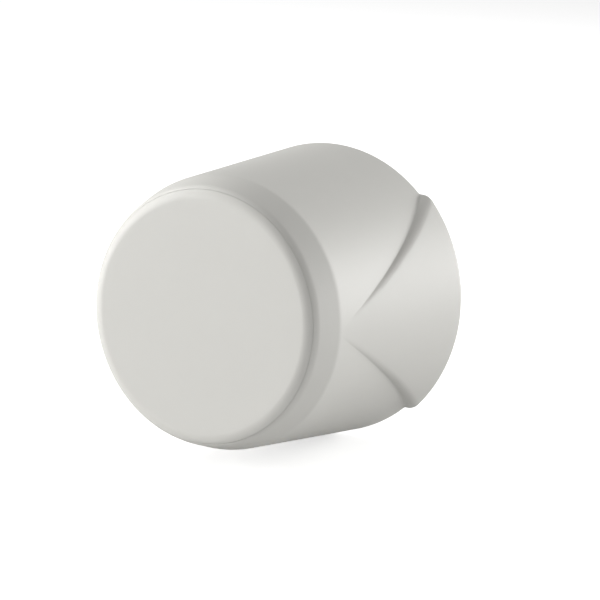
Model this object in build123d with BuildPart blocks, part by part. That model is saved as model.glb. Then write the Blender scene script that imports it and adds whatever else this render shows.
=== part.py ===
from build123d import *
from math import cos, degrees, radians, sin
import os

# Push-fit end cap for 22 mm pipe: a blind pressure body with a seal and grab-ring cartridge in its
# mouth. Turning the outer grip shell drives a release collar inwards, which frees the pipe.
# The pipe's axis is Y, with the open mouth towards +Y and the closed end towards -Y. +Z is up.
# The origin is the point on the axis where the pipe's end seats. Sizes are in millimetres.
# Angles round the axis start at +X and grow the way the shell turns to release (from +X towards -Z).

os.makedirs("parts", exist_ok=True)

# ---- driving dimensions: the pipe and the cap's outside ----
PIPE_R = 11.0               # outside radius of the 22 mm pipe
PIPE_GAP = 0.15             # radial clearance of the pipe in the guide bore
COLLAR_R = 18.0             # sharp edge between the bevelled band and the tapering grip
COLLAR_Y = -1.0
GRIP_LENGTH = 27.75         # from the collar's edge to the rim of the mouth
GRIP_TAPER = 0.0776         # growth in radius per length of the grip
BEVEL_ANGLE = 16.4          # slope of the bevelled band in front of the collar's edge, from the axis
FACE_Y = -5.77              # flat face of the end cover
END_ROUND_R = 2.05          # rounding that carries the face over into the bevelled band
LIP_R = 16.5                # opening of the grip shell round the end cover, part way round it

# ---- the two raised grip leaves ----
LEAF_RIM_R = 21.15          # radius over the leaves at the rim
LEAF_HALF_WIDTH = 14.5      # from a leaf's middle line to its edge, across, at the rim
LEAF_APEX_Y = -1.7          # where a leaf's two edges would meet

# ---- pressure body ----
BODY_R = 16.0
SEAT_R = 14.2               # housing of the seal and the grab-ring cartridge
STOP_R = 9.5                # opening inside the ledge that stops the pipe
GUIDE_LENGTH = 8.0
BLIND_WALL = 3.0
BLIND_Y = -4.6              # outside of the closed end
BODY_END_Y = 20.6
SPIGOT_R = 14.8             # stepped-down end that the end cover snaps over
SPIGOT_END_Y = -0.6
KEY_R = 16.7                # two keys limit the shell's turn
KEY_Y = (13.0, 17.0)
KEY_ARC = 8.0
KEY_ANGLES = (90.0, 270.0)

# ---- seal and cartridge, along the axis ----
SEAL_SECTION = 3.2
GRIP_R = PIPE_R - 0.05      # seal and teeth, which the pipe pushes outwards as it enters
PROTECTOR_Y = (11.3, 13.8)
GRAB_THICKNESS = 0.5
CLAMP_Y = (14.3, 17.0)
RETAINER_Y = (17.0, 20.5)
SEAT_GAP = 0.08             # radial gap of the cartridge pieces in their housing
TOOTH_COUNT = 16
TOOTH_ARC = 14.0

# ---- release collar ----
RELEASE_TRAVEL = 1.6
SLEEVE_R = 12.2
SLEEVE_BORE_R = 11.3
SLEEVE_GAP = 0.1
NOSE_Y = 15.7
FLANGE_Y = (22.4, 24.0)
FLANGE_R = 15.2
LUG_R = 17.5                # two lugs that the shell's ramps push
LUG_ARC = 24.0
LUG_ANGLES = (0.0, 180.0)
COLLAR_KEY_R = 12.9         # two keys in the retaining ring's keyways keep the collar from turning
COLLAR_KEY_Y = (18.8, 22.6)
COLLAR_KEY_WIDTH = 3.0

# ---- grip shell ----
SHELL_WALL = 2.0
TURN_GAP = 0.08             # radial clearance of the shell on the body
TURN_ANGLE = 45.0           # turn from gripping to released
LAND_Y = (-0.5, 2.5)        # solid bearing ring behind the collar
RIB_END_Y = 18.2
RIB_WIDTH = 1.2
STOP_GAP_ARC = 0.5          # angle left between a key and a rib at each end of the turn
RAMP_R = 16.8               # inner radius of the ramps that drive the collar's lugs
RAMP_END_Y = 25.5
RAMP_GAP = 0.05             # axial clearance of a lug under its ramp
RAMP_SECTIONS = 9
CLIP_Y = (18.4, 19.2)       # snap ring that keeps the shell on the body
CLIP_R = (15.3, 16.7)
CLIP_OPENING = 28.0

RIM_Y = COLLAR_Y + GRIP_LENGTH
GUIDE_R = PIPE_R + PIPE_GAP
BEVEL_SIN = sin(radians(BEVEL_ANGLE))
BEVEL_COS = cos(radians(BEVEL_ANGLE))
ROUND_Y = FACE_Y + END_ROUND_R
ROUND_R = COLLAR_R + ((ROUND_Y - COLLAR_Y) * BEVEL_SIN - END_ROUND_R) / BEVEL_COS


def grip_radius(y):
    """Outside radius of the tapering grip between its leaves."""
    return COLLAR_R + GRIP_TAPER * (y - COLLAR_Y)


def wall_radius(y):
    """Inside radius of the grip shell's wall."""
    return grip_radius(y) - SHELL_WALL


def round_y(radius):
    """Height of the end's rounding at a radius beyond its centre."""
    return ROUND_Y - (END_ROUND_R**2 - (radius - ROUND_R) ** 2) ** 0.5


def turned_plane(angle):
    """Plane through the axis at an angle round it: its x is the radius and its y runs along Y."""
    return Plane.XY.rotated((0, angle, 0))


def crossing_plane(y):
    """Plane square to the axis at y, facing out of the mouth, with angles counted as above."""
    return Plane(origin=(0, y, 0), x_dir=(1, 0, 0), z_dir=(0, 1, 0))


# ---- pressure body: blind socket, guide bore, seal housing and keys ----
BARB_GROOVE_R = SEAT_R + 0.45
BARB_GROOVE_Y = (17.1, 17.9)
COVER_GROOVE_Y = (-3.1, -2.1)
COVER_GROOVE_R = SPIGOT_R - 0.4
CLIP_GROOVE_MARGIN = 0.05
MOUTH_CHAMFER = 0.3

with BuildPart() as pressure_body:
    with BuildSketch(Plane.XY):
        Polygon(
            (0, BLIND_Y),
            (SPIGOT_R - MOUTH_CHAMFER, BLIND_Y),
            (SPIGOT_R, BLIND_Y + MOUTH_CHAMFER),
            (SPIGOT_R, SPIGOT_END_Y),
            (BODY_R, SPIGOT_END_Y),
            (BODY_R, BODY_END_Y - MOUTH_CHAMFER),
            (BODY_R - MOUTH_CHAMFER, BODY_END_Y),
            (SEAT_R + MOUTH_CHAMFER, BODY_END_Y),
            (SEAT_R, BODY_END_Y - MOUTH_CHAMFER),
            (SEAT_R, GUIDE_LENGTH),
            (GUIDE_R, GUIDE_LENGTH),
            (GUIDE_R, 0),
            (STOP_R, 0),
            (STOP_R, BLIND_Y + BLIND_WALL),
            (0, BLIND_Y + BLIND_WALL),
            align=None,
        )
    revolve(axis=Axis.Y)
    # groove inside the mouth for the retaining ring's barb
    with BuildSketch(Plane.XY):
        with Locations((SEAT_R, sum(BARB_GROOVE_Y) / 2)):
            Rectangle(2 * (BARB_GROOVE_R - SEAT_R), BARB_GROOVE_Y[1] - BARB_GROOVE_Y[0])
    revolve(axis=Axis.Y, mode=Mode.SUBTRACT)
    # grooves outside for the snap ring and the end cover's beads
    for groove_r, outer_r, (low, high) in (
        (CLIP_R[0] - CLIP_GROOVE_MARGIN, BODY_R,
         (CLIP_Y[0] - CLIP_GROOVE_MARGIN, CLIP_Y[1] + CLIP_GROOVE_MARGIN)),
        (COVER_GROOVE_R, SPIGOT_R, COVER_GROOVE_Y),
    ):
        with BuildSketch(Plane.XY):
            with Locations((outer_r, (low + high) / 2)):
                Rectangle(2 * (outer_r - groove_r), high - low)
        revolve(axis=Axis.Y, mode=Mode.SUBTRACT)
    # keys that stop the shell's turn
    for angle in KEY_ANGLES:
        with BuildSketch(turned_plane(angle - KEY_ARC / 2)):
            with Locations((BODY_R, sum(KEY_Y) / 2)):
                Rectangle(2 * (KEY_R - BODY_R), KEY_Y[1] - KEY_Y[0])
        revolve(axis=Axis.Y, revolution_arc=KEY_ARC)

# ---- end cover: soft-edged disc that snaps over the body's closed end ----
COVER_R = LIP_R - 0.05
COVER_WALL = 1.1
COVER_INNER_R = SPIGOT_R + 0.05
COVER_END_Y = SPIGOT_END_Y - 0.1
BEAD_COUNT = 6
BEAD_ARC = 20.0
BEAD_CLEARANCE = 0.05

with BuildPart() as end_cover:
    with BuildSketch(Plane.XY):
        with BuildLine():
            Line((0, FACE_Y), (ROUND_R, FACE_Y))
            RadiusArc((ROUND_R, FACE_Y), (COVER_R, round_y(COVER_R)), -END_ROUND_R)
            Line((COVER_R, round_y(COVER_R)), (COVER_R, COVER_END_Y))
            Line((COVER_R, COVER_END_Y), (COVER_INNER_R, COVER_END_Y))
            Line((COVER_INNER_R, COVER_END_Y), (COVER_INNER_R, FACE_Y + COVER_WALL))
            Line((COVER_INNER_R, FACE_Y + COVER_WALL), (0, FACE_Y + COVER_WALL))
            Line((0, FACE_Y + COVER_WALL), (0, FACE_Y))
        make_face()
    revolve(axis=Axis.Y)
    # beads inside the skirt that click into the body's groove
    for i in range(BEAD_COUNT):
        with BuildSketch(turned_plane(i * 360 / BEAD_COUNT - BEAD_ARC / 2)):
            Polygon(
                (COVER_INNER_R + 0.1, COVER_GROOVE_Y[0] + BEAD_CLEARANCE),
                (COVER_GROOVE_R + BEAD_CLEARANCE, COVER_GROOVE_Y[0] + 0.35),
                (COVER_GROOVE_R + BEAD_CLEARANCE, COVER_GROOVE_Y[1] - 0.35),
                (COVER_INNER_R + 0.1, COVER_GROOVE_Y[1] - BEAD_CLEARANCE),
                align=None,
            )
        revolve(axis=Axis.Y, revolution_arc=BEAD_ARC)

# ---- seal: O-ring that the pipe's outside presses into its housing ----
SEAL_MEAN_R = GRIP_R + SEAL_SECTION / 2

with BuildPart() as seal_ring:
    with BuildSketch(Plane.XY):
        with Locations((SEAL_MEAN_R, GUIDE_LENGTH + SEAL_SECTION / 2 + 0.05)):
            Circle(SEAL_SECTION / 2)
    revolve(axis=Axis.Y)

# ---- seal protector: keeps the grab ring off the seal and backs its teeth with a cone ----
PROTECTOR_BORE_R = GUIDE_R + 0.1
PROTECTOR_LAND = 0.6
PROTECTOR_CONE_R = 12.9

with BuildPart() as seal_protector:
    with BuildSketch(Plane.XY):
        Polygon(
            (PROTECTOR_BORE_R, PROTECTOR_Y[0]),
            (SEAT_R - SEAT_GAP, PROTECTOR_Y[0]),
            (SEAT_R - SEAT_GAP, PROTECTOR_Y[1]),
            (PROTECTOR_CONE_R, PROTECTOR_Y[1]),
            (PROTECTOR_BORE_R, PROTECTOR_Y[0] + PROTECTOR_LAND),
            align=None,
        )
    revolve(axis=Axis.Y)

# ---- grab ring: flat steel ring whose teeth lean towards the closed end and bite the pipe ----
GRAB_Y = PROTECTOR_Y[1]
GRAB_TOP_Y = GRAB_Y + GRAB_THICKNESS
GRAB_FLAT_R = 12.9
TOOTH_ROOT_R = 12.55
TOOTH_SLOPE = 0.75          # axial drop per radius of a tooth
TOOTH_THICKNESS_Y = GRAB_THICKNESS * (1 + TOOTH_SLOPE**2) ** 0.5

with BuildPart() as grab_ring:
    with BuildSketch(Plane.XY):
        Polygon(
            (GRAB_FLAT_R, GRAB_Y),
            (SEAT_R - SEAT_GAP, GRAB_Y),
            (SEAT_R - SEAT_GAP, GRAB_TOP_Y),
            (GRAB_FLAT_R, GRAB_TOP_Y),
            align=None,
        )
    revolve(axis=Axis.Y)
    tip_y = GRAB_Y - TOOTH_SLOPE * (TOOTH_ROOT_R - GRIP_R)
    bend_r = TOOTH_ROOT_R - (TOOTH_THICKNESS_Y - GRAB_THICKNESS) / TOOTH_SLOPE
    for i in range(TOOTH_COUNT):
        with BuildSketch(turned_plane(i * 360 / TOOTH_COUNT - TOOTH_ARC / 2)):
            Polygon(
                (GRAB_FLAT_R + 0.2, GRAB_Y),
                (GRAB_FLAT_R + 0.2, GRAB_TOP_Y),
                (bend_r, GRAB_TOP_Y),
                (GRIP_R, tip_y + TOOTH_THICKNESS_Y),
                (GRIP_R, tip_y),
                (TOOTH_ROOT_R, GRAB_Y),
                align=None,
            )
        revolve(axis=Axis.Y, revolution_arc=TOOTH_ARC)

# ---- clamp ring: holds the grab ring's flat down and gives the collar's barbs room ----
CLAMP_BORE_R = 13.2

with BuildPart() as clamp_ring:
    with BuildSketch(Plane.XY):
        Polygon(
            (CLAMP_BORE_R, CLAMP_Y[0]),
            (SEAT_R - SEAT_GAP, CLAMP_Y[0]),
            (SEAT_R - SEAT_GAP, CLAMP_Y[1]),
            (CLAMP_BORE_R, CLAMP_Y[1]),
            align=None,
        )
    revolve(axis=Axis.Y)

# ---- retaining ring: snapped into the mouth, it holds the cartridge in ----
RETAINER_R = SEAT_R - SEAT_GAP
RETAINER_BORE_R = SLEEVE_R + SLEEVE_GAP
BARB_R = BARB_GROOVE_R - 0.1
BARB_Y = (BARB_GROOVE_Y[0] + 0.1, BARB_GROOVE_Y[1] - 0.1)
KEYWAY_GAP = 0.1

with BuildPart() as retaining_ring:
    with BuildSketch(Plane.XY):
        Polygon(
            (RETAINER_BORE_R, RETAINER_Y[0]),
            (RETAINER_R, RETAINER_Y[0]),
            (RETAINER_R, BARB_Y[0]),
            (BARB_R, BARB_Y[1]),
            (RETAINER_R, BARB_Y[1]),
            (RETAINER_R, RETAINER_Y[1]),
            (RETAINER_BORE_R + MOUTH_CHAMFER, RETAINER_Y[1]),
            (RETAINER_BORE_R, RETAINER_Y[1] - MOUTH_CHAMFER),
            align=None,
        )
    revolve(axis=Axis.Y)
    # keyways for the release collar's two keys
    with BuildSketch(crossing_plane(RETAINER_Y[0])):
        Rectangle(COLLAR_KEY_WIDTH + 2 * KEYWAY_GAP, 2 * (COLLAR_KEY_R + KEYWAY_GAP))
    extrude(amount=RETAINER_Y[1] - RETAINER_Y[0], mode=Mode.SUBTRACT)

# ---- release collar: slotted sleeve with catches and keys, a flange, and two lugs to push it by ----
NOSE_CHAMFER = 0.45
CATCH_Y = (16.1, 16.9)
CATCH_R = 13.0
CATCH_ARC = 36.0
SLOT_COUNT = 4
SLOT_WIDTH = 1.2
SLOT_END_Y = 18.6
ENTRY_CHAMFER = 0.9

with BuildPart() as release_collar:
    with BuildSketch(Plane.XY):
        Polygon(
            (SLEEVE_BORE_R, NOSE_Y),
            (SLEEVE_R - NOSE_CHAMFER, NOSE_Y),
            (SLEEVE_R, NOSE_Y + NOSE_CHAMFER),
            (SLEEVE_R, FLANGE_Y[0]),
            (FLANGE_R, FLANGE_Y[0]),
            (FLANGE_R, FLANGE_Y[1] - MOUTH_CHAMFER),
            (FLANGE_R - MOUTH_CHAMFER, FLANGE_Y[1]),
            (SLEEVE_BORE_R + ENTRY_CHAMFER, FLANGE_Y[1]),
            (SLEEVE_BORE_R, FLANGE_Y[1] - ENTRY_CHAMFER),
            align=None,
        )
    revolve(axis=Axis.Y)
    # catches behind the retaining ring, one on each finger of the sleeve
    for i in range(SLOT_COUNT):
        with BuildSketch(turned_plane(i * 360 / SLOT_COUNT - CATCH_ARC / 2)):
            Polygon(
                (SLEEVE_R - 0.3, CATCH_Y[0]),
                (SLEEVE_R + 0.2, CATCH_Y[0]),
                (CATCH_R, CATCH_Y[1] - 0.3),
                (CATCH_R, CATCH_Y[1]),
                (SLEEVE_R - 0.3, CATCH_Y[1]),
                align=None,
            )
        revolve(axis=Axis.Y, revolution_arc=CATCH_ARC)
    # keys that slide in the retaining ring
    with BuildSketch(crossing_plane(COLLAR_KEY_Y[0])):
        Rectangle(COLLAR_KEY_WIDTH, 2 * COLLAR_KEY_R)
        Circle(SLEEVE_R - 0.3, mode=Mode.SUBTRACT)
    extrude(amount=COLLAR_KEY_Y[1] - COLLAR_KEY_Y[0])
    # lugs that the shell's ramps push
    for angle in LUG_ANGLES:
        with BuildSketch(turned_plane(angle - LUG_ARC / 2)):
            with Locations(((FLANGE_R - 0.5 + LUG_R) / 2, sum(FLANGE_Y) / 2)):
                Rectangle(LUG_R - FLANGE_R + 0.5, FLANGE_Y[1] - FLANGE_Y[0])
        revolve(axis=Axis.Y, revolution_arc=LUG_ARC)
    # slots between the fingers, so that they spring inwards on assembly
    for i in range(SLOT_COUNT):
        with BuildSketch(turned_plane((i + 0.5) * 360 / SLOT_COUNT)):
            with Locations((SLEEVE_R, (NOSE_Y + SLOT_END_Y) / 2 - 0.5)):
                Rectangle(2 * (SLEEVE_R - SLEEVE_BORE_R) + 0.6, SLOT_END_Y - NOSE_Y + 1)
        extrude(amount=SLOT_WIDTH / 2, both=True, mode=Mode.SUBTRACT)

# ---- snap ring: open ring in the body's outer groove, in front of the shell's ribs ----
with BuildPart() as snap_ring:
    with BuildSketch(turned_plane(90 + CLIP_OPENING / 2)):
        with Locations((sum(CLIP_R) / 2, sum(CLIP_Y) / 2)):
            Rectangle(CLIP_R[1] - CLIP_R[0], CLIP_Y[1] - CLIP_Y[0])
    revolve(axis=Axis.Y, revolution_arc=360 - CLIP_OPENING)

# ---- grip shell: bevelled collar, tapering wall, two raised leaves, ribs, stops and ramps ----
SHELL_BORE_R = BODY_R + TURN_GAP
BEVEL_START = (ROUND_R + END_ROUND_R * BEVEL_COS, ROUND_Y - END_ROUND_R * BEVEL_SIN)
RIM_CHAMFER = 0.2
LEAF_START = 0.5            # the leaves leave the taper just behind the collar's edge
LEAF_TAPER = (LEAF_RIM_R - COLLAR_R) / GRIP_LENGTH
SPARE = 1.0                 # overlap of a rib or a cut with the wall it meets
KEY_TO_RIB = KEY_ARC / 2 + degrees(RIB_WIDTH / 2 / SHELL_BORE_R) + STOP_GAP_ARC
FREE_RIBS = 3               # plain ribs between one key's stops and the next
RIB_STEP = (180 - TURN_ANGLE - 2 * KEY_TO_RIB) / (FREE_RIBS + 1)
RIB_SPAN = 8.0              # longer than any rib is high
LEAF_EDGE_END = LEAF_HALF_WIDTH * (RIM_Y + SPARE - LEAF_APEX_Y) / (RIM_Y - LEAF_APEX_Y)

with BuildPart() as leaves:
    # ring of the leaves' outer taper, kept only between the leaves' straight edges
    with BuildSketch(Plane.XY):
        Polygon(
            (COLLAR_R - SPARE, COLLAR_Y + LEAF_START),
            (COLLAR_R + LEAF_TAPER * LEAF_START, COLLAR_Y + LEAF_START),
            (LEAF_RIM_R - RIM_CHAMFER * LEAF_TAPER, RIM_Y - RIM_CHAMFER),
            (LEAF_RIM_R - RIM_CHAMFER, RIM_Y),
            (wall_radius(RIM_Y) + SPARE, RIM_Y),
            align=None,
        )
    revolve(axis=Axis.Y)
    with BuildSketch(Plane.YZ):
        Polygon((LEAF_APEX_Y, 0), (RIM_Y + SPARE, LEAF_EDGE_END), (RIM_Y + SPARE, -LEAF_EDGE_END), align=None)
    extrude(amount=LEAF_RIM_R + SPARE, both=True, mode=Mode.INTERSECT)

# ribs that run on the body; at each end of the turn two of them meet the keys
with BuildPart() as ribs:
    with BuildSketch(Plane.XY):
        Polygon(
            (SHELL_BORE_R, LAND_Y[1] - SPARE),
            (SHELL_BORE_R, RIB_END_Y),
            (wall_radius(RIB_END_Y) + SPARE, RIB_END_Y),
            (wall_radius(LAND_Y[1] - SPARE) + SPARE, LAND_Y[1] - SPARE),
            align=None,
        )
    revolve(axis=Axis.Y)
    with BuildSketch(crossing_plane(0)):
        for key_angle in KEY_ANGLES:
            with PolarLocations(COLLAR_R, 1, key_angle - TURN_ANGLE - KEY_TO_RIB):
                Rectangle(RIB_SPAN, RIB_WIDTH)
            for i in range(FREE_RIBS + 1):
                with PolarLocations(COLLAR_R, 1, key_angle + KEY_TO_RIB + i * RIB_STEP):
                    Rectangle(RIB_SPAN, RIB_WIDTH)
    extrude(amount=RIM_Y, mode=Mode.INTERSECT)

# ramp inside the mouth: as the shell turns, its sloping underside pushes a lug of the collar inwards
with BuildPart() as ramp:
    for i in range(RAMP_SECTIONS):
        ramp_angle = LUG_ARC / 2 - i * (LUG_ARC + TURN_ANGLE) / (RAMP_SECTIONS - 1)
        drop = RELEASE_TRAVEL * (ramp_angle + LUG_ARC / 2) / TURN_ANGLE
        ramp_y = FLANGE_Y[1] + RAMP_GAP + drop
        with BuildSketch(turned_plane(ramp_angle)):
            Polygon(
                (RAMP_R, ramp_y),
                (RAMP_R, RAMP_END_Y),
                (wall_radius(RAMP_END_Y) + SPARE, RAMP_END_Y),
                (wall_radius(RAMP_END_Y) + SPARE, ramp_y),
                align=None,
            )
    loft()

with BuildPart() as grip_shell:
    # outer wall with its bevelled band and its bearing ring
    with BuildSketch(Plane.XY):
        with BuildLine():
            RadiusArc((LIP_R, round_y(LIP_R)), BEVEL_START, -END_ROUND_R)
            Polyline(
                BEVEL_START,
                (COLLAR_R, COLLAR_Y),
                (grip_radius(RIM_Y - RIM_CHAMFER), RIM_Y - RIM_CHAMFER),
                (grip_radius(RIM_Y) - RIM_CHAMFER, RIM_Y),
                (wall_radius(RIM_Y) + RIM_CHAMFER, RIM_Y),
                (wall_radius(RIM_Y - RIM_CHAMFER), RIM_Y - RIM_CHAMFER),
                (wall_radius(LAND_Y[1]), LAND_Y[1]),
                (SHELL_BORE_R, LAND_Y[1]),
                (SHELL_BORE_R, LAND_Y[0]),
                (LIP_R, LAND_Y[0]),
                (LIP_R, round_y(LIP_R)),
            )
        make_face()
    revolve(axis=Axis.Y)
    add(leaves.part)
    add(ribs.part)
    for angle in LUG_ANGLES:
        add(ramp.part, rotation=(0, angle, 0))

pressure_body.part.label = "pressure_body"
end_cover.part.label = "end_cover"
seal_ring.part.label = "seal_ring"
seal_protector.part.label = "seal_protector"
grab_ring.part.label = "grab_ring"
clamp_ring.part.label = "clamp_ring"
retaining_ring.part.label = "retaining_ring"
release_collar.part.label = "release_collar"
snap_ring.part.label = "snap_ring"
grip_shell.part.label = "grip_shell"

export_step(pressure_body.part, "parts/pressure_body.step")
export_step(end_cover.part, "parts/end_cover.step")
export_step(seal_ring.part, "parts/seal_ring.step")
export_step(seal_protector.part, "parts/seal_protector.step")
export_step(grab_ring.part, "parts/grab_ring.step")
export_step(clamp_ring.part, "parts/clamp_ring.step")
export_step(retaining_ring.part, "parts/retaining_ring.step")
export_step(release_collar.part, "parts/release_collar.step")
export_step(snap_ring.part, "parts/snap_ring.step")
export_step(grip_shell.part, "parts/grip_shell.step")
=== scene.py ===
import math

import bmesh
import bpy
from mathutils import Matrix, Vector


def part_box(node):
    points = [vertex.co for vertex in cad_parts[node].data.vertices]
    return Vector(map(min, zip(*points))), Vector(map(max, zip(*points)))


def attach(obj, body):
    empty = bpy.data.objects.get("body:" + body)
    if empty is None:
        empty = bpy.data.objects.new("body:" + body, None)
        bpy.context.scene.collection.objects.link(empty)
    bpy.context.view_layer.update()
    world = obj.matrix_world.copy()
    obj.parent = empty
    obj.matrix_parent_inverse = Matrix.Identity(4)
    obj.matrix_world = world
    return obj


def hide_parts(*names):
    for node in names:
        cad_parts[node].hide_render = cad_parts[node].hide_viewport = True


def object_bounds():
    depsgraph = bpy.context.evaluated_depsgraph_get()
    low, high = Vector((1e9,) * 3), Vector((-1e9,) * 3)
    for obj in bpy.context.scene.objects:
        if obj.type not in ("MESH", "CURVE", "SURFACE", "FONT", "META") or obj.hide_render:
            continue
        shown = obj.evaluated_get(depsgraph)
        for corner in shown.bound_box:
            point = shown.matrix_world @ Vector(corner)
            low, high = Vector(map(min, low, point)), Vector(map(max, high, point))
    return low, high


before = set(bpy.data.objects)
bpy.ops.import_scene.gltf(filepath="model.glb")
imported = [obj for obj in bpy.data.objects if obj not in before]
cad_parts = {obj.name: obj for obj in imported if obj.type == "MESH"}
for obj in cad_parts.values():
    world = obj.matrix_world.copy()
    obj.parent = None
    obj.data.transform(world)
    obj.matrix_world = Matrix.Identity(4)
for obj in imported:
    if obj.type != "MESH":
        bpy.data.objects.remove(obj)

bl_info = {
    "name": "Push-fit end cap",
    "version": (1, 0, 0),
    "blender": (4, 5, 0),
    "location": "View3D > Sidebar > End cap",
    "description": "Builds the moulded skins, ribs, steel teeth, finishes and stage of a push-fit end cap",
    "category": "Mesh",
}

MM = 0.001
TURN = 2 * math.pi
QUARTER = math.pi / 2
CAD_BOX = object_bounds()
SHELL_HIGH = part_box("grip_shell")[1]
COVER_LOW, COVER_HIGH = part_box("end_cover")
BODY_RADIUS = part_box("pressure_body")[1].x
GRAB_LOW, GRAB_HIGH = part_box("grab_ring")
LUG_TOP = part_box("release_collar")[1].y

# grip shell: places along the axis are counted from the collar's edge
RUNNING_GAP = 0.08 * MM             # between the pressure body and what turns on it
LAND_START = 0.5 * MM               # the land that runs on the pressure body
LAND_END = 3.5 * MM
RIB_START = 3.0 * MM                # a little inside the land, so the ribs grow out of it
RIB_BEVEL = 0.12 * MM
RAMP_TOP = 26.5 * MM
RAMP_THINNEST = 0.2 * MM
RAMP_BEVEL = 0.1 * MM
RAMP_STEPS = 36
WALL_OVERLAP = 0.4                  # share of the wall that ribs and ramps run into
GRIP_START = 1.5                    # first ring of the grip, in collar roundings
GRIP_STEPS = 72
INNER_STEPS = 12
LEAF_STEPS = 18
SLOPE_STEPS = 18
BETWEEN_STEPS = 44

# end cover
SKIRT_WALL = 1.6 * MM
FACE_STEPS = 30
COVER_SEGMENTS = 256

# grab ring
STEEL = 0.5 * MM                    # thickness
FLAT_RADIUS = 12.6 * MM             # inner radius of the flat
ROOT_RADIUS = 12.55 * MM            # where the teeth bend down
TIP_RADIUS = 10.95 * MM
ROOT_LAP = 0.2 * MM                 # how far the teeth run into the flat
ROOT_BEND = 0.15 * MM
TOOTH_BEVEL = 0.05 * MM
TOOTH_STEPS = 4
FLAT_SEGMENTS = 128

# finishes that the settings leave alone
ACETAL_HEX = "DEDBD0"
RETAINER_HEX = "6F7475"
RUBBER_HEX = ("191919", "2B2B2A")
STEEL_HEX = ("A9A8A5", "D0CFCB")
FLOOR_HEX = "E6E6E6"
FLOW_SIZE = 9 * MM                  # cloudy patches left by the plastic's flow
BLOOM_SIZE = 1.5 * MM
STREAK_WIDTH = 0.12 * MM            # rolling marks
FLOOR_CLOUD = 60 * MM
GLOSS_SPREAD = 0.05

# the camera's own axes: it looks past the collar towards the rim, so that the whole cap is in the middle
CAMERA_RIGHT = Vector((0.8599, 0.5067, 0.0615))
CAMERA_DOWN = Vector((0.1432, -0.1239, -0.9819))
CAMERA_FORWARD = Vector((-0.4899, 0.8532, -0.1791))
CAMERA_SIDE = Vector((0.51686, -0.83639, 0.18617))      # from the collar's centre towards the camera
FLOOR_HALF = 3.0
LIGHT_TARGET = Vector((0, 10 * MM, 0))
LIGHT_DISTANCE = 0.8
# softboxes round the cap: azimuth and elevation in degrees, energy in watts
SOFTBOXES = {
    "left_front": (303, 6, 7.2),
    "left_top": (275, 45, 2.6),
    "right": (118, 3, 2.4),
    "right_back": (155, 5, 6.9),
}


# ---- user settings ----

class CapShellSettings(bpy.types.PropertyGroup):
    """Outer grip shell."""

    collar_radius: bpy.props.FloatProperty(
        name="Collar radius", description="Radius of the edge behind the bevelled band",
        default=0.018, subtype="DISTANCE", unit="LENGTH")
    taper: bpy.props.FloatProperty(
        name="Taper", description="Growth in radius per length of the grip", default=0.0776)
    bevel_angle: bpy.props.FloatProperty(
        name="Bevel angle", description="Slope of the bevelled band, from the axis",
        default=math.radians(16.4), subtype="ANGLE")
    end_round: bpy.props.FloatProperty(
        name="End rounding", description="Rounding that carries the end cover's face over into the band",
        default=0.00205, subtype="DISTANCE", unit="LENGTH")
    collar_setback: bpy.props.FloatProperty(
        name="Collar setback", description="From the end cover's face to the collar's edge",
        default=0.00477, subtype="DISTANCE", unit="LENGTH")
    collar_rounding: bpy.props.FloatProperty(
        name="Collar rounding", description="Radius that breaks the collar's edge",
        default=0.0004, subtype="DISTANCE", unit="LENGTH")
    rim_rounding: bpy.props.FloatProperty(
        name="Rim rounding", description="Radius that breaks the rim's edges",
        default=0.00035, subtype="DISTANCE", unit="LENGTH")
    wall: bpy.props.FloatProperty(
        name="Wall", description="Wall thickness between the leaves",
        default=0.002, subtype="DISTANCE", unit="LENGTH")
    leaf_half_width: bpy.props.FloatProperty(
        name="Leaf half width", description="From a leaf's middle line to the foot of its edge, at the rim",
        default=0.0149, subtype="DISTANCE", unit="LENGTH")
    leaf_apex: bpy.props.FloatProperty(
        name="Leaf apex", description="Where a leaf's two edges meet, in front of the collar's edge",
        default=0.0007, subtype="DISTANCE", unit="LENGTH")
    leaf_slope: bpy.props.FloatProperty(
        name="Leaf slope", description="Width of the slope at a leaf's edge, round the rim",
        default=0.0021, subtype="DISTANCE", unit="LENGTH")


class CapInsideSettings(bpy.types.PropertyGroup):
    """Ribs and ramps inside the grip shell, and the grab ring's teeth."""

    rib_width: bpy.props.FloatProperty(
        name="Rib width", description="Thickness of a rib",
        default=0.0012, subtype="DISTANCE", unit="LENGTH")
    rib_length: bpy.props.FloatProperty(
        name="Rib end", description="From the collar's edge to the ribs' inner ends",
        default=0.0192, subtype="DISTANCE", unit="LENGTH")
    rib_count: bpy.props.IntProperty(
        name="Ribs in a half", description="Ribs between one key of the body and the next", default=5)
    key_arc: bpy.props.FloatProperty(
        name="Key arc", description="Arc of a key on the body", default=math.radians(8), subtype="ANGLE")
    stop_gap: bpy.props.FloatProperty(
        name="Stop gap", description="Angle between a key and the rib that meets it",
        default=math.radians(0.5), subtype="ANGLE")
    turn: bpy.props.FloatProperty(
        name="Turn", description="Turn from gripping to released", default=math.radians(45), subtype="ANGLE")
    travel: bpy.props.FloatProperty(
        name="Release travel", description="Travel of the release collar",
        default=0.0016, subtype="DISTANCE", unit="LENGTH")
    lug_arc: bpy.props.FloatProperty(
        name="Lug arc", description="Arc of a lug on the release collar",
        default=math.radians(24), subtype="ANGLE")
    ramp_radius: bpy.props.FloatProperty(
        name="Ramp radius", description="Inner radius of the ramps",
        default=0.0168, subtype="DISTANCE", unit="LENGTH")
    ramp_gap: bpy.props.FloatProperty(
        name="Ramp gap", description="Clearance of a lug under its ramp",
        default=0.00005, subtype="DISTANCE", unit="LENGTH")
    tooth_count: bpy.props.IntProperty(
        name="Teeth", description="Teeth of the grab ring", default=16)
    tooth_arc: bpy.props.FloatProperty(
        name="Tooth arc", description="Arc of one tooth", default=math.radians(14), subtype="ANGLE")


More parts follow.
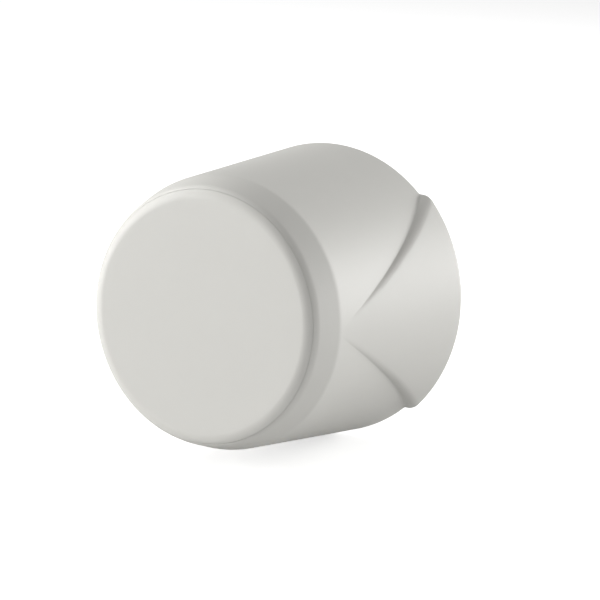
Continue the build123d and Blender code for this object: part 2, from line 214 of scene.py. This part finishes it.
class CapCoverSettings(bpy.types.PropertyGroup):
    """End cover."""

    gap: bpy.props.FloatProperty(
        name="Gap", description="Fine gap between the cover and the shell's lip",
        default=0.00003, subtype="DISTANCE", unit="LENGTH")
    wall: bpy.props.FloatProperty(
        name="Wall", description="Thickness of the cover's face",
        default=0.0011, subtype="DISTANCE", unit="LENGTH")


class CapFinishSettings(bpy.types.PropertyGroup):
    """Colours, as sRGB hex values."""

    shell_hex: bpy.props.StringProperty(
        name="Shell colour", description="Moulded polypropylene of shell and cover", default="D3D2CD")
    body_hex: bpy.props.StringProperty(
        name="Body colour", description="Moulded pressure body", default="8E9190")
    collar_hex: bpy.props.StringProperty(
        name="Collar colour", description="Moulded acetal release collar", default="BDBDB7")
    grain_mm: bpy.props.FloatProperty(
        name="Grain", description="Size of the mould's fine spark-eroded grain, in millimetres", default=0.22)


class CapStageSettings(bpy.types.PropertyGroup):
    """Camera, floor and lights."""

    lens: bpy.props.FloatProperty(
        name="Lens", description="Focal length in millimetres on a 36 mm sensor", default=150.0)
    distance: bpy.props.FloatProperty(
        name="Distance", description="Camera to the collar's centre",
        default=0.3239, subtype="DISTANCE", unit="LENGTH")
    softbox_size: bpy.props.FloatProperty(
        name="Softbox size", description="Side of each square softbox",
        default=0.45, subtype="DISTANCE", unit="LENGTH")
    surround: bpy.props.FloatProperty(
        name="Surround", description="Strength of the even light from the room", default=0.34)
    floor_glow: bpy.props.FloatProperty(
        name="Floor glow", description="Lift that keeps the floor white to the camera", default=0.6)


# ---- mesh helpers ----

def hex_colour(code):
    """sRGB hex to linear RGBA."""
    channels = [int(code[i:i + 2], 16) / 255 for i in (0, 2, 4)]
    linear = [c / 12.92 if c <= 0.04045 else ((c + 0.055) / 1.055) ** 2.4 for c in channels]
    return (*linear, 1.0)


def arc(centre, radius, start, stop, steps):
    """Points of an arc in (radius, y), angles in degrees."""
    points = []
    for i in range(steps + 1):
        a = math.radians(start + (stop - start) * i / steps)
        points.append((centre[0] + radius * math.cos(a), centre[1] + radius * math.sin(a)))
    return points


def curve_corner(start, corner, end, steps):
    """A corner turned into a curve that leaves its two sides smoothly."""
    points = []
    for i in range(steps + 1):
        t = i / steps
        point = start * (1 - t) ** 2 + corner * 2 * t * (1 - t) + end * t ** 2
        points.append((point.x, point.y))
    return points


def around(angle, radius, y):
    """A point at an angle round the axis, counted from +X towards -Z."""
    return (radius * math.cos(angle), y, -radius * math.sin(angle))


def new_object(name, data):
    """An object with this mesh, camera or light, linked to the scene."""
    piece = bpy.data.objects.new(name, data)
    bpy.context.scene.collection.objects.link(piece)
    return piece


def as_plain(piece, name):
    """The piece with its modifiers worked into a plain mesh; the old object is removed."""
    bpy.context.view_layer.update()
    evaluated = piece.evaluated_get(bpy.context.evaluated_depsgraph_get())
    mesh = bpy.data.meshes.new_from_object(evaluated)
    mesh.name = name
    bpy.data.objects.remove(piece)
    return new_object(name, mesh)


def finished(name, verts, faces, smooth_angle=35.0):
    """Object from vertices and faces, with normals outwards and smooth shading below an angle."""
    mesh = bpy.data.meshes.new(name)
    mesh.from_pydata(verts, [], faces)
    work = bmesh.new()
    work.from_mesh(mesh)
    bmesh.ops.remove_doubles(work, verts=work.verts, dist=1e-7)
    bmesh.ops.recalc_face_normals(work, faces=work.faces)
    work.to_mesh(mesh)
    work.free()
    mesh.shade_smooth()
    mesh.set_sharp_from_angle(angle=math.radians(smooth_angle))
    return new_object(name, mesh)


def ring_faces(columns, count, whole=True):
    """Quads between neighbouring columns of a closed profile, all the way round or open at the ends."""
    faces = []
    for i in range(columns if whole else columns - 1):
        a, b = i * count, ((i + 1) % columns) * count
        for j in range(count):
            k = (j + 1) % count
            faces.append((a + j, a + k, b + k, b + j))
    return faces


def lathed(name, profile, segments, smooth_angle=35.0):
    """A closed (radius, y) profile turned all the way round the axis."""
    verts = [around(TURN * i / segments, radius, y) for i in range(segments) for radius, y in profile]
    return finished(name, verts, ring_faces(segments, len(profile)), smooth_angle)


def dress(piece, material, body, slot, *nodes):
    """Gives a finished piece its material and body, and hides the CAD nodes it stands for; the slot is not
    used.
    """
    piece.data.materials.clear()
    piece.data.materials.append(material)
    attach(piece, body)
    if nodes:
        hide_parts(*nodes)


# ---- materials ----

def add_node(tree, kind, links=None, **settings):
    """Adds a node, sets its properties or sockets by name, and links {input: output socket}."""
    node = tree.nodes.new(kind)
    for key, value in settings.items():
        if hasattr(node, key):
            setattr(node, key, value)
        else:
            node.inputs[key].default_value = value
    for key, source in (links or {}).items():
        tree.links.new(source, node.inputs[key])
    return node


def new_material(name):
    """A material with its node tree and shader."""
    material = bpy.data.materials.new(name)
    material.use_nodes = True
    return material, material.node_tree, material.node_tree.nodes["Principled BSDF"]


def moulded_plastic(name, colour, roughness, grain_mm, depth_mm, mottle):
    """Injection-moulded plastic: a fine eroded grain from the mould, with faint flow mottling of the colour.

    The grain dulls the highlights to a soft sheen. It is drawn coarser than a real mould's, to show at all.
    """
    material, tree, shader = new_material(name)
    place = add_node(tree, "ShaderNodeTexCoord")
    grain = add_node(tree, "ShaderNodeTexNoise", {"Vector": place.outputs["Object"]},
                     Scale=1 / (grain_mm * MM), Detail=3.0, Roughness=0.6)
    flow = add_node(tree, "ShaderNodeTexNoise", {"Vector": place.outputs["Object"]},
                    Scale=1 / FLOW_SIZE, Detail=2.0, Roughness=0.5)
    base = hex_colour(colour)[:3]
    tint = add_node(tree, "ShaderNodeMix", {0: flow.outputs["Fac"]}, data_type="RGBA")
    tint.inputs[6].default_value = (*(c * (1 - mottle) for c in base), 1)
    tint.inputs[7].default_value = (*(min(1, c * (1 + mottle)) for c in base), 1)
    tree.links.new(tint.outputs[2], shader.inputs["Base Color"])
    gloss = add_node(tree, "ShaderNodeMapRange", {"Value": grain.outputs["Fac"]})
    gloss.inputs["To Min"].default_value = roughness - GLOSS_SPREAD
    gloss.inputs["To Max"].default_value = roughness + GLOSS_SPREAD
    tree.links.new(gloss.outputs["Result"], shader.inputs["Roughness"])
    bump = add_node(tree, "ShaderNodeBump", {"Height": grain.outputs["Fac"]},
                    Strength=0.35, Distance=depth_mm * MM)
    tree.links.new(bump.outputs["Normal"], shader.inputs["Normal"])
    shader.inputs["IOR"].default_value = 1.49
    return material


def seal_rubber(name):
    """EPDM rubber: near black, satin, with a faint bloom that lifts it to a dull grey."""
    material, tree, shader = new_material(name)
    place = add_node(tree, "ShaderNodeTexCoord")
    bloom = add_node(tree, "ShaderNodeTexNoise", {"Vector": place.outputs["Object"]},
                     Scale=1 / BLOOM_SIZE, Detail=4.0, Roughness=0.6)
    ramp = add_node(tree, "ShaderNodeValToRGB", {"Fac": bloom.outputs["Fac"]})
    for stop, code in zip(ramp.color_ramp.elements, RUBBER_HEX):
        stop.color = hex_colour(code)
    tree.links.new(ramp.outputs["Color"], shader.inputs["Base Color"])
    bump = add_node(tree, "ShaderNodeBump", {"Height": bloom.outputs["Fac"]},
                    Strength=0.2, Distance=0.02 * MM)
    tree.links.new(bump.outputs["Normal"], shader.inputs["Normal"])
    shader.inputs["Roughness"].default_value = 0.42
    shader.inputs["IOR"].default_value = 1.52
    return material


def stamped_steel(name):
    """Stamped stainless spring steel: rolled along one way, so bright with fine straight streaks."""
    material, tree, shader = new_material(name)
    place = add_node(tree, "ShaderNodeTexCoord")
    stretch = add_node(tree, "ShaderNodeMapping", {"Vector": place.outputs["Object"]},
                       Scale=(1.0, 0.04, 0.04))
    streak = add_node(tree, "ShaderNodeTexNoise", {"Vector": stretch.outputs["Vector"]},
                      Scale=1 / STREAK_WIDTH, Detail=4.0, Roughness=0.65)
    ramp = add_node(tree, "ShaderNodeValToRGB", {"Fac": streak.outputs["Fac"]})
    for stop, code in zip(ramp.color_ramp.elements, STEEL_HEX):
        stop.color = hex_colour(code)
    tree.links.new(ramp.outputs["Color"], shader.inputs["Base Color"])
    gloss = add_node(tree, "ShaderNodeMapRange", {"Value": streak.outputs["Fac"]})
    gloss.inputs["To Min"].default_value = 0.2
    gloss.inputs["To Max"].default_value = 0.36
    tree.links.new(gloss.outputs["Result"], shader.inputs["Roughness"])
    bump = add_node(tree, "ShaderNodeBump", {"Height": streak.outputs["Fac"]},
                    Strength=0.15, Distance=0.01 * MM)
    tree.links.new(bump.outputs["Normal"], shader.inputs["Normal"])
    shader.inputs["Metallic"].default_value = 1.0
    return material


# ---- repeated pieces ----

def ring_tree():
    """Node tree that sets copies of a mesh round the axis, in equal steps, in one or more equal groups."""
    tree = bpy.data.node_groups.new("copies_round_axis", "GeometryNodeTree")
    face = tree.interface
    face.new_socket("Piece", in_out="INPUT", socket_type="NodeSocketGeometry")
    for name, kind in (("Count", "NodeSocketInt"), ("First angle", "NodeSocketFloat"),
                       ("Step angle", "NodeSocketFloat"), ("Groups", "NodeSocketInt"),
                       ("Finish", "NodeSocketMaterial")):
        face.new_socket(name, in_out="INPUT", socket_type=kind)
    face.new_socket("Ring", in_out="OUTPUT", socket_type="NodeSocketGeometry")

    given = add_node(tree, "NodeGroupInput")
    index = add_node(tree, "GeometryNodeInputIndex")

    def spread(piece, count, step, first):
        """Copies of a piece at first + index * step."""
        points = add_node(tree, "GeometryNodePoints", {"Count": count})
        product = add_node(tree, "ShaderNodeMath", {0: index.outputs[0], 1: step}, operation="MULTIPLY")
        angle = add_node(tree, "ShaderNodeMath", {0: product.outputs[0], 1: first}, operation="ADD")
        turn = add_node(tree, "ShaderNodeCombineXYZ", {"Y": angle.outputs[0]})
        copies = add_node(tree, "GeometryNodeInstanceOnPoints",
                          {"Points": points.outputs[0], "Instance": piece, "Rotation": turn.outputs[0]})
        return add_node(tree, "GeometryNodeRealizeInstances", {0: copies.outputs[0]}).outputs[0]

    group = spread(given.outputs["Piece"], given.outputs["Count"],
                   given.outputs["Step angle"], given.outputs["First angle"])
    group_step = add_node(tree, "ShaderNodeMath", {1: given.outputs["Groups"]}, operation="DIVIDE")
    group_step.inputs[0].default_value = TURN
    start = add_node(tree, "ShaderNodeValue")
    start.outputs[0].default_value = 0.0
    ring = spread(group, given.outputs["Groups"], group_step.outputs[0], start.outputs[0])
    dressed = add_node(tree, "GeometryNodeSetMaterial",
                       {"Geometry": ring, "Material": given.outputs["Finish"]})
    add_node(tree, "NodeGroupOutput", {"Ring": dressed.outputs[0]})
    return tree


def ring_of(name, unit, material, count, first, step, groups=1):
    """A plain mesh of copies of one unit, set round the axis by the node tree."""
    tree = bpy.data.node_groups.get("copies_round_axis") or ring_tree()
    modifier = unit.modifiers.new("copies", "NODES")
    modifier.node_group = tree
    values = {"Count": count, "First angle": first, "Step angle": step, "Groups": groups, "Finish": material}
    for item in tree.interface.items_tree:
        if item.in_out == "INPUT" and item.name in values:
            modifier[item.identifier] = values[item.name]
    ring = as_plain(unit, name)
    ring.data.set_sharp_from_angle(angle=math.radians(30))
    return ring


def block(name, sections, bevel):
    """A closed solid through like sections, its edges broken by a small bevel."""
    count = len(sections[0])
    verts = [point for section in sections for point in section]
    faces = ring_faces(len(sections), count, whole=False)
    faces.append(tuple(range(count)))
    faces.append(tuple(range(len(verts) - count, len(verts)))[::-1])
    piece = finished(name, verts, faces)
    modifier = piece.modifiers.new("edges", "BEVEL")
    modifier.width = bevel
    modifier.segments = 3
    modifier.limit_method = "ANGLE"
    return as_plain(piece, name)


# ---- grip shell ----

class ShellLines:
    """Lines of the grip shell, worked out from its settings and the frame."""

    apex_fade = 0.08            # share of the leaf's length over which its apex sinks into the wall
    apex_slope = 0.4            # share of the slope's width that is left at the collar's edge
    least_top = 0.2             # the flat of a leaf is never narrower than this share of it
    foot_round = 0.08           # share of a leaf's slope that its hollow foot takes
    roll = 2.6                  # power of the slope's roll: higher is steeper at the foot

    def __init__(self, scene):
        shell = self.shell = scene.cap_shell
        slope = shell.bevel_angle
        self.lip_radius = COVER_HIGH.x + scene.cap_cover.gap
        self.face_y = COVER_LOW.y
        self.rim_y = SHELL_HIGH.y
        self.collar_y = self.face_y + shell.collar_setback
        self.round_y = self.face_y + shell.end_round
        self.round_r = shell.collar_radius + ((self.round_y - self.collar_y) * math.sin(slope)
                                              - shell.end_round) / math.cos(slope)
        self.length = self.rim_y - self.collar_y
        self.leaf_height = SHELL_HIGH.x - self.grip(self.rim_y)

    def rounding(self, start, stop, steps):
        """Points of the end's rounding; angles from the face's direction, in radians."""
        size = self.shell.end_round
        turns = [start + (stop - start) * i / steps for i in range(steps + 1)]
        return [(self.round_r + size * math.sin(a), self.round_y - size * math.cos(a)) for a in turns]

    def seam_angle(self, radius):
        """Where a radius cuts the end's rounding."""
        return math.asin((radius - self.round_r) / self.shell.end_round)

    def grip(self, y):
        """Outside radius between the leaves."""
        return self.shell.collar_radius + self.shell.taper * (y - self.collar_y)

    def along(self, y):
        """0 at the collar's edge, 1 at the rim."""
        return min(1.0, max(0.0, (y - self.collar_y) / self.length))

    def leaf_angles(self, y):
        """Angles from a leaf's middle to the top and to the foot of its edge."""
        along = self.along(y)
        apex = self.shell.leaf_apex / self.length
        foot = math.asin(self.shell.leaf_half_width * (along + apex) / (1 + apex) / self.grip(self.rim_y))
        foot *= self.grip(self.rim_y) / self.grip(self.collar_y + along * self.length)
        width = self.shell.leaf_slope * (self.apex_slope + (1 - self.apex_slope) * along)
        return max(foot * self.least_top, foot - width / self.grip(self.rim_y)), foot

    def leaf_rise(self, y):
        """How far a leaf stands out, growing to the rim and fading out softly towards the apex."""
        along = self.along(y)
        return self.leaf_height * (1 + self.apex_fade) * along * along / (along + self.apex_fade)

    def rise(self, share):
        """Height of a leaf's slope, from 0 at its foot to 1 at its top: hollow foot, then a long roll."""
        soft = self.foot_round
        if share < soft:
            share = max(0.0, share + soft) ** 2 / (4 * soft)
        return 1 - (1 - min(1.0, share)) ** self.roll

    def column(self, part, share, y):
        """Angle of a column of points from a leaf's middle, and its share of the leaf's height."""
        top, foot = self.leaf_angles(y)
        if part == "leaf":
            return top * share, 1.0
        if part == "slope":
            at = 1 - (1 + self.foot_round) * share
            return foot + (top - foot) * at, self.rise(at)
        base = foot - (top - foot) * self.foot_round
        return base + (QUARTER - base) * share, 0.0


def leaf_columns():
    """Columns of one quarter, from a leaf's middle: (part of the quarter, share of that part)."""
    parts = {"leaf": LEAF_STEPS, "slope": SLOPE_STEPS, "between": BETWEEN_STEPS}
    return [(part, i / steps) for part, steps in parts.items() for i in range(steps)]


class CAP_OT_grip_shell(bpy.types.Operator):
    """Builds the grip shell's skin: bevelled collar, flared wall and two raised leaves"""

    bl_idname = "cap.grip_shell"
    bl_label = "Grip shell"

    def execute(self, context):
        scene = context.scene
        shell, finish = scene.cap_shell, scene.cap_finish
        lines = ShellLines(scene)
        edge, round_cut = shell.rim_rounding, shell.collar_rounding
        land_start, land_end = lines.collar_y + LAND_START, lines.collar_y + LAND_END
        land_radius = BODY_RADIUS + RUNNING_GAP

        outer = lines.rounding(lines.seam_angle(lines.lip_radius), QUARTER - shell.bevel_angle, steps=10)
        # the collar's edge is broken by a small curve between the band and the grip
        band = Vector((math.sin(shell.bevel_angle), math.cos(shell.bevel_angle)))
        wall = Vector((shell.taper, 1)).normalized()
        corner = Vector((shell.collar_radius, lines.collar_y))
        outer += curve_corner(corner - band * round_cut, corner, corner + wall * round_cut, steps=8)
        start = lines.collar_y + round_cut * GRIP_START
        stop = lines.rim_y - edge
        for i in range(GRIP_STEPS + 1):
            y = start + (stop - start) * i / GRIP_STEPS
            outer.append((lines.grip(y), y))
        rim_radius = lines.grip(stop)
        outer += arc((rim_radius - edge, stop), edge, 0, 90, steps=5)[1:]

        inner = arc((rim_radius - shell.wall + edge, stop), edge, 90, 180, steps=4)
        for i in range(1, INNER_STEPS + 1):
            y = stop - (stop - land_end) * i / INNER_STEPS
            inner.append((lines.grip(y) - shell.wall, y))
        inner += [(land_radius, land_end), (land_radius, land_start), (lines.lip_radius, land_start)]
        profile = [(r, y, True) for r, y in outer] + [(r, y, False) for r, y in inner]

        # every other quarter is mirrored, so it runs from between the leaves to a leaf's middle
        forward = leaf_columns()
        backward = [("between", 1.0)] + forward[:0:-1]
        verts = []
        for k in range(4):
            mirrored = k % 2 == 1
            for part, share in backward if mirrored else forward:
                for radius, y, on_leaf in profile:
                    angle, rise = lines.column(part, share, y)
                    if on_leaf:
                        radius += lines.leaf_rise(y) * rise
                    angle = k * QUARTER + (QUARTER - angle if mirrored else angle)
                    verts.append(around(angle, radius, y))
        faces = ring_faces(4 * len(forward), len(profile))
        piece = finished("grip_shell_skin", verts, faces, smooth_angle=30.0)
        # warm light grey polypropylene off an eroded mould: matt, with a broad soft sheen
        material = moulded_plastic("moulded_pp_eroded", finish.shell_hex, roughness=0.55,
                                   grain_mm=finish.grain_mm, depth_mm=0.02, mottle=0.012)
        dress(piece, material, "shell", "grip_shell", "grip_shell")
        return {"FINISHED"}


class CAP_OT_shell_inside(bpy.types.Operator):
    """Builds what stands inside the grip shell: the ribs that run on the body and the two release ramps"""

    bl_idname = "cap.shell_inside"
    bl_label = "Shell ribs and ramps"

    def execute(self, context):
        scene = context.scene
        inside = scene.cap_inside
        lines = ShellLines(scene)
        material = bpy.data.materials["moulded_pp_eroded"]
        bore = BODY_RADIUS + RUNNING_GAP
        half = inside.rib_width / 2

        def in_wall(y):
            """Radius inside the shell's wall, where ribs and ramps end."""
            return lines.grip(y) - scene.cap_shell.wall * (1 - WALL_OVERLAP)

        def section(y):
            outer = in_wall(y)
            return [(bore, y, -half), (bore, y, half), (outer, y, half), (outer, y, -half)]

        ends = lines.collar_y + RIB_START, lines.collar_y + inside.rib_length
        rib = block("rib", [section(y) for y in ends], RIB_BEVEL)
        stop_angle = inside.key_arc / 2 + half / bore + inside.stop_gap
        step = (math.pi - inside.turn - 2 * stop_angle) / (inside.rib_count - 1)
        ribs = ring_of("grip_shell_ribs", rib, material, inside.rib_count, QUARTER + stop_angle, step, 2)
        dress(ribs, material, "shell", "grip_shell")

        # a ramp's underside slopes by the release travel over the turn, so it presses the lug inwards
        top = lines.collar_y + RAMP_TOP
        inner, outer = inside.ramp_radius, in_wall(top)
        lug_half = inside.lug_arc / 2
        sections = []
        for i in range(RAMP_STEPS + 1):
            angle = lug_half - i * (inside.lug_arc + inside.turn) / RAMP_STEPS
            low = LUG_TOP + inside.ramp_gap + inside.travel * (angle + lug_half) / inside.turn
            low = min(low, top - RAMP_THINNEST)
            corners = ((inner, low), (inner, top), (outer, top), (outer, low))
            sections.append([around(angle, radius, y) for radius, y in corners])
        ramp = block("ramp", sections, RAMP_BEVEL)
        ramps = ring_of("grip_shell_ramps", ramp, material, 2, 0.0, math.pi)
        dress(ramps, material, "shell", "grip_shell")
        return {"FINISHED"}


class CAP_OT_end_cover(bpy.types.Operator):
    """Builds the end cover: a flat face that rolls over into a short skirt"""

    bl_idname = "cap.end_cover"
    bl_label = "End cover"

    def execute(self, context):
        cover = context.scene.cap_cover
        lines = ShellLines(context.scene)
        face, back, outer = COVER_LOW.y, COVER_HIGH.y, COVER_HIGH.x
        inner = outer - SKIRT_WALL
        profile = [(lines.round_r * i / FACE_STEPS, face) for i in range(FACE_STEPS)]
        profile += lines.rounding(0, lines.seam_angle(outer), steps=20)
        profile += [(outer, back), (inner, back), (inner, face + cover.wall), (0, face + cover.wall)]
        piece = lathed("end_cover_skin", profile, COVER_SEGMENTS, smooth_angle=40.0)
        dress(piece, bpy.data.materials["moulded_pp_eroded"], "body", "end_cover", "end_cover")
        return {"FINISHED"}


class CAP_OT_grab_ring(bpy.types.Operator):
    """Builds the steel grab ring: a flat ring with teeth that lean in and bite the pipe"""

    bl_idname = "cap.grab_ring"
    bl_label = "Grab ring"

    def execute(self, context):
        inside = context.scene.cap_inside
        steel = stamped_steel("stamped_spring_steel")
        outer, top, tip_y = GRAB_HIGH.x, GRAB_HIGH.y, GRAB_LOW.y
        under = top - STEEL
        corners = [(FLAT_RADIUS, under), (outer, under), (outer, top), (FLAT_RADIUS, top)]
        flat = lathed("grab_ring_flat", corners, FLAT_SEGMENTS)
        dress(flat, steel, "body", "spring_steel", "grab_ring")

        lean = math.atan2(under - tip_y, ROOT_RADIUS - TIP_RADIUS)
        drop = STEEL / math.cos(lean)
        root = FLAT_RADIUS + ROOT_LAP
        profile = [(root, under), (root, top), (ROOT_RADIUS - ROOT_BEND, top),
                   (TIP_RADIUS, tip_y + drop), (TIP_RADIUS, tip_y), (ROOT_RADIUS, under)]
        sections = []
        for i in range(TOOTH_STEPS + 1):
            angle = inside.tooth_arc * (i / TOOTH_STEPS - 0.5)
            sections.append([around(angle, radius, y) for radius, y in profile])
        tooth = block("tooth", sections, TOOTH_BEVEL)
        teeth = ring_of("grab_ring_teeth", tooth, steel, inside.tooth_count, 0.0, TURN / inside.tooth_count)
        dress(teeth, steel, "body", "spring_steel")
        return {"FINISHED"}


class CAP_OT_inner_parts(bpy.types.Operator):
    """Finishes the pressure body, the cartridge rings and the release collar"""

    bl_idname = "cap.inner_parts"
    bl_label = "Inner parts"

    def execute(self, context):
        finish = context.scene.cap_finish
        # glass-filled polyamide: mid grey and faintly cloudy, because the fibres lie in the flow
        body = moulded_plastic("moulded_glass_filled_body", finish.body_hex, roughness=0.48,
                               grain_mm=0.3, depth_mm=0.02, mottle=0.03)
        # natural acetal: milky white and a little waxy
        acetal = moulded_plastic("natural_acetal", ACETAL_HEX, roughness=0.35,
                                 grain_mm=0.4, depth_mm=0.01, mottle=0.01)
        # coloured acetal: smoother than the shell, so its flange shows a closer highlight
        collar = moulded_plastic("moulded_acetal_collar", finish.collar_hex, roughness=0.4,
                                 grain_mm=0.3, depth_mm=0.012, mottle=0.015)
        # darker grey plastic that tells the retaining ring from the collar in front of it
        retainer = moulded_plastic("moulded_retainer", RETAINER_HEX, roughness=0.45,
                                   grain_mm=0.3, depth_mm=0.02, mottle=0.02)
        steel = bpy.data.materials["stamped_spring_steel"]
        finishes = {
            "pressure_body": body,
            "seal_ring": seal_rubber("epdm_seal_rubber"),
            "seal_protector": acetal,
            "clamp_ring": acetal,
            "snap_ring": steel,
            "retaining_ring": retainer,
            "release_collar": collar,
        }
        for node, material in finishes.items():
            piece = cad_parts[node]
            piece.data.materials.clear()
            piece.data.materials.append(material)
        return {"FINISHED"}


def pale_floor(glow):
    """Matt white studio floor; a little glow that only the camera sees keeps it plain white in soft light."""
    material, tree, shader = new_material("matt_white_floor")
    place = add_node(tree, "ShaderNodeTexCoord")
    cloud = add_node(tree, "ShaderNodeTexNoise", {"Vector": place.outputs["Object"]},
                     Scale=1 / FLOOR_CLOUD, Detail=2.0, Roughness=0.5)
    tone = add_node(tree, "ShaderNodeMapRange", {"Value": cloud.outputs["Fac"]})
    tone.inputs["To Min"].default_value = 0.9
    tone.inputs["To Max"].default_value = 0.94
    tree.links.new(tone.outputs["Result"], shader.inputs["Roughness"])
    shader.inputs["Base Color"].default_value = hex_colour(FLOOR_HEX)
    shader.inputs["Specular IOR Level"].default_value = 0.2
    path = add_node(tree, "ShaderNodeLightPath")
    lift = add_node(tree, "ShaderNodeMath", {0: path.outputs["Is Camera Ray"]}, operation="MULTIPLY")
    lift.inputs[1].default_value = glow
    shader.inputs["Emission Color"].default_value = (1, 1, 1, 1)
    tree.links.new(lift.outputs[0], shader.inputs["Emission Strength"])
    return material


def softbox(name, azimuth, elevation, size, energy):
    """A square soft light round the cap; azimuth counts from the end cover's side towards +X, in degrees."""
    turn, lift = math.radians(azimuth), math.radians(elevation)
    aim = Vector((math.sin(turn) * math.cos(lift), -math.cos(turn) * math.cos(lift), math.sin(lift)))
    data = bpy.data.lights.new(name, "AREA")
    data.shape = "SQUARE"
    data.size = size
    data.energy = energy
    light = new_object(name, data)
    light.location = LIGHT_TARGET + aim * LIGHT_DISTANCE
    light.rotation_euler = (-aim).to_track_quat("-Z", "Y").to_euler()
    light.visible_camera = False


class CAP_OT_stage(bpy.types.Operator):
    """Places the camera, the pale floor and the soft studio lights"""

    bl_idname = "cap.stage"
    bl_label = "Stage"

    def execute(self, context):
        scene = context.scene
        stage = scene.cap_stage
        collar = Vector((0, ShellLines(scene).collar_y, 0))
        camera_data = bpy.data.cameras.new("camera")
        camera_data.lens = stage.lens
        camera_data.sensor_width = 36
        camera_data.clip_start = 0.01
        camera_data.clip_end = 20
        camera = new_object("camera", camera_data)
        turn = Matrix((CAMERA_RIGHT, -CAMERA_DOWN, -CAMERA_FORWARD)).transposed().to_4x4()
        camera.matrix_world = Matrix.Translation(collar + CAMERA_SIDE.normalized() * stage.distance) @ turn
        scene.camera = camera

        low, half = CAD_BOX[0][2], FLOOR_HALF
        corners = [(-half, -half, low), (half, -half, low), (half, half, low), (-half, half, low)]
        mesh = bpy.data.meshes.new("studio_floor")
        mesh.from_pydata(corners, [], [(0, 1, 2, 3)])
        mesh.materials.append(pale_floor(stage.floor_glow))
        new_object("studio_floor", mesh)

        for name, (azimuth, elevation, energy) in SOFTBOXES.items():
            softbox(name, azimuth, elevation, stage.softbox_size, energy)

        world = bpy.data.worlds.new("studio")
        scene.world = world
        world.use_nodes = True
        surround = world.node_tree.nodes["Background"]
        surround.inputs["Color"].default_value = hex_colour("FFFFFF")
        surround.inputs["Strength"].default_value = stage.surround
        scene.view_settings.view_transform = "Standard"
        return {"FINISHED"}


class CAP_PT_panel(bpy.types.Panel):
    """End cap settings and builders"""

    bl_idname = "CAP_PT_panel"
    bl_label = "End cap"
    bl_space_type = "VIEW_3D"
    bl_region_type = "UI"
    bl_category = "End cap"

    def draw(self, context):
        for key in SETTINGS:
            settings = getattr(context.scene, key)
            column = self.layout.column(align=True)
            for name in settings.__annotations__:
                column.prop(settings, name)
        for operator in OPERATORS:
            self.layout.operator(operator.bl_idname)


SETTINGS = {
    "cap_shell": CapShellSettings,
    "cap_inside": CapInsideSettings,
    "cap_cover": CapCoverSettings,
    "cap_finish": CapFinishSettings,
    "cap_stage": CapStageSettings,
}
OPERATORS = (CAP_OT_grip_shell, CAP_OT_shell_inside, CAP_OT_end_cover, CAP_OT_grab_ring,
             CAP_OT_inner_parts, CAP_OT_stage)


def register():
    for name, group in SETTINGS.items():
        bpy.utils.register_class(group)
        setattr(bpy.types.Scene, name, bpy.props.PointerProperty(type=group))
    for operator in OPERATORS:
        bpy.utils.register_class(operator)
    bpy.utils.register_class(CAP_PT_panel)


def unregister():
    bpy.utils.unregister_class(CAP_PT_panel)
    for operator in reversed(OPERATORS):
        bpy.utils.unregister_class(operator)
    for name, group in SETTINGS.items():
        delattr(bpy.types.Scene, name)
        bpy.utils.unregister_class(group)


def main():
    register()
    bpy.ops.cap.grip_shell()
    bpy.ops.cap.shell_inside()
    bpy.ops.cap.end_cover()
    bpy.ops.cap.grab_ring()
    bpy.ops.cap.inner_parts()
    bpy.ops.cap.stage()


if __name__ == "__main__":
    main()
